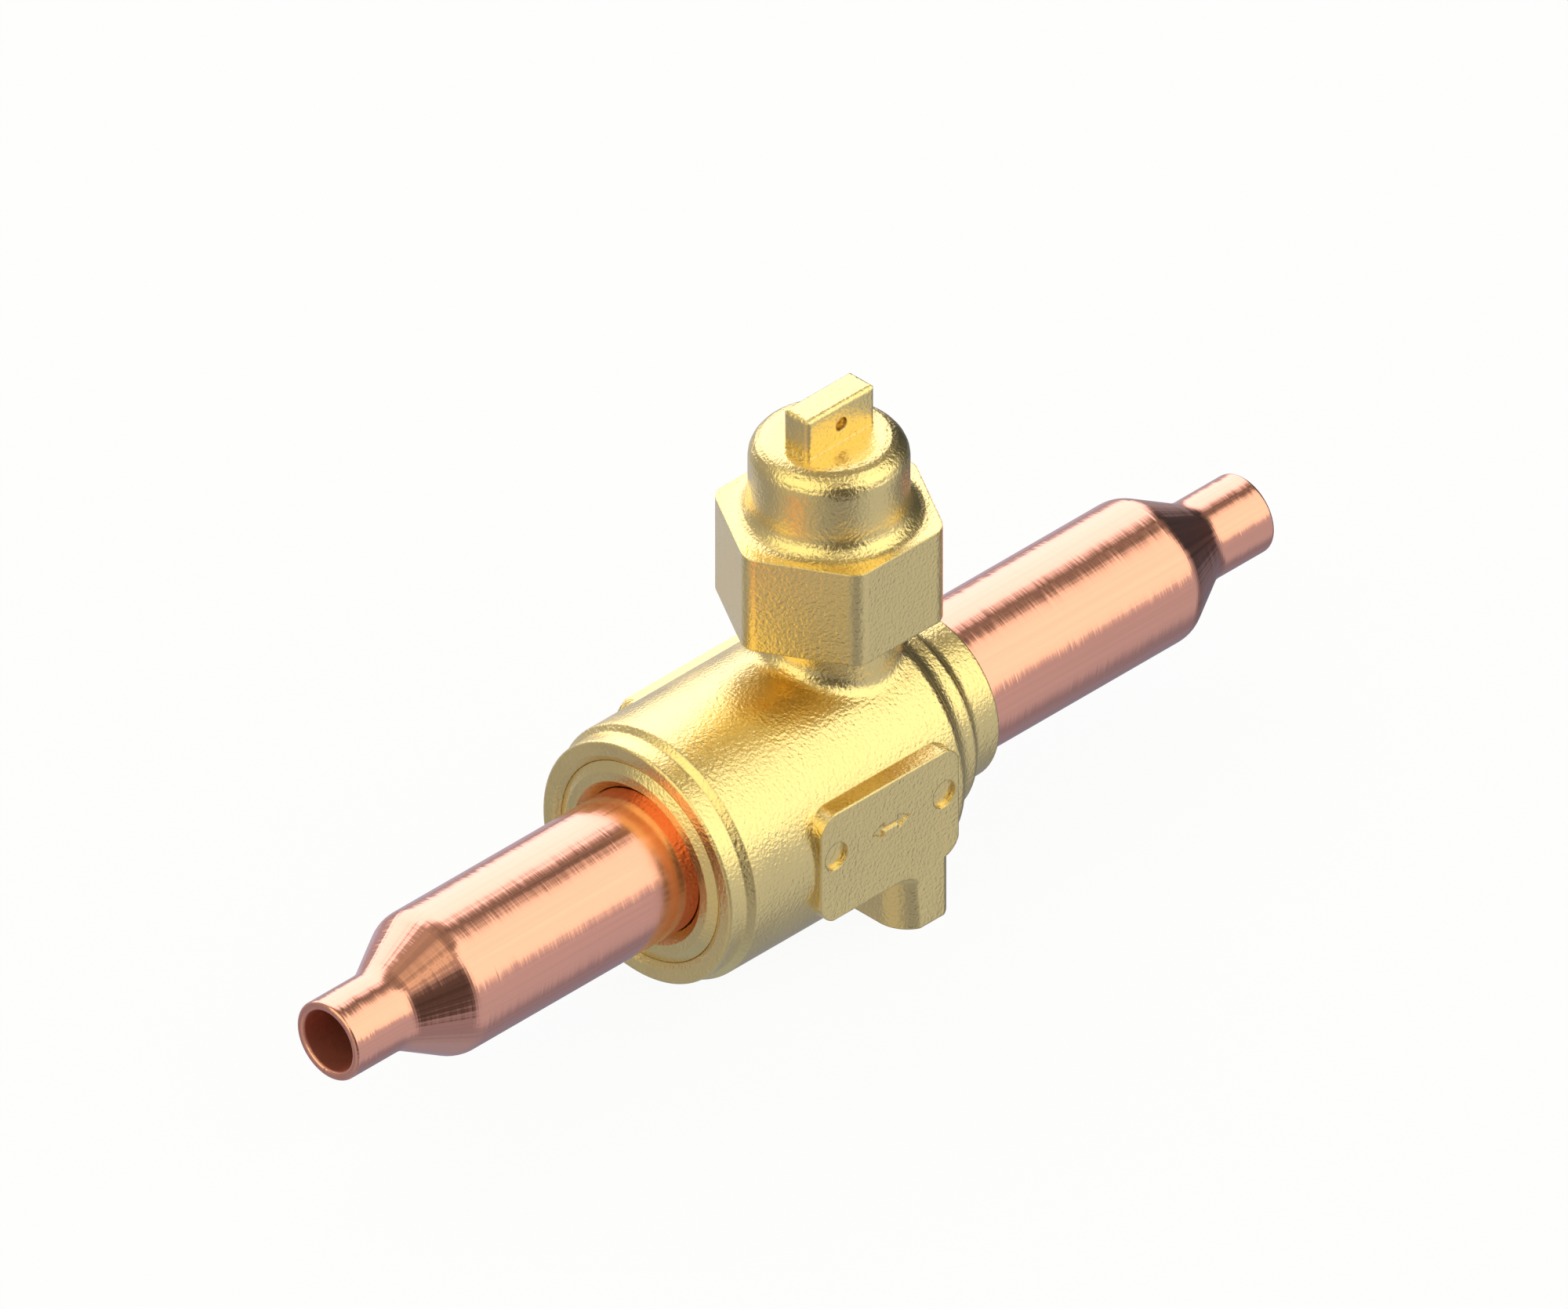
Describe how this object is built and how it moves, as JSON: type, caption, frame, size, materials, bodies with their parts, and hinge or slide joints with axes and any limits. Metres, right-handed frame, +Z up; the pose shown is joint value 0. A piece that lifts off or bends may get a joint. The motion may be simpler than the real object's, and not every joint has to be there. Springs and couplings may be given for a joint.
{
  "type": "shut-off ball valve",
  "caption": "Brass shut-off ball valve with soldered copper stubs reduced to small sockets, a foot with mounting holes and a hexagonal screwed seal cap.",
  "frame": {"origin": "on the stem axis at the foot's mounting face, midway between the two mounting holes", "axes": "+X along the pipe towards the far stub, +Z up along the stem towards the seal cap"},
  "size_m": [0.1815, 0.0408, 0.0797],
  "materials": {
    "forged_brass": "forged and tumbled brass, fine bump",
    "turned_brass": "turned brass",
    "copper": "drawn copper tube, smooth",
    "braze_alloy": "silver brazing alloy",
    "ball_plating": "polished plating",
    "stem_steel": "turned stainless steel",
    "ptfe": "white PTFE",
    "seal_rubber": "black chloroprene rubber"
  },
  "bodies": {
    "valve": {"valve_body": "forged_brass", "end_plug": "turned_brass", "tube_near": "copper", "tube_far": "copper", "braze_ring_near": "braze_alloy", "braze_ring_far": "braze_alloy", "seat_near": "ptfe", "seat_far": "ptfe", "end_plug_oring": "seal_rubber", "seat_oring_near": "seal_rubber", "seat_oring_far": "seal_rubber"},
    "spindle": {"stem": "stem_steel", "ball": "ball_plating", "stop_pin": "stem_steel", "stem_thrust_washer": "ptfe", "stem_oring_lower": "seal_rubber", "stem_oring_upper": "seal_rubber", "stem_backup_ring_lower": "ptfe", "stem_backup_ring_upper": "ptfe"},
    "gasket_lift": {"cap_gasket": "ptfe"},
    "cap": {"seal_cap": "forged_brass"}
  },
  "joints": [
    {"name": "stem_turn", "type": "hinge", "parent": "valve", "child": "spindle", "pos_m": [0, 0, 0.0188], "axis": [0, 0, -1], "range_deg": [0, 90]},
    {"name": "cap_rise", "type": "slide", "parent": "valve", "child": "gasket_lift", "axis": [0, 0, 1], "range_m": [0, 0.008]},
    {"name": "cap_turn", "type": "hinge", "parent": "gasket_lift", "child": "cap", "pos_m": [0, 0, 0.0188], "axis": [0, 0, 1], "range_deg": [0, 1920]}
  ],
  "couplings": [
    {"joint": "cap_turn", "follows": "cap_rise", "rad_per_m": 4188.8}
  ]
}
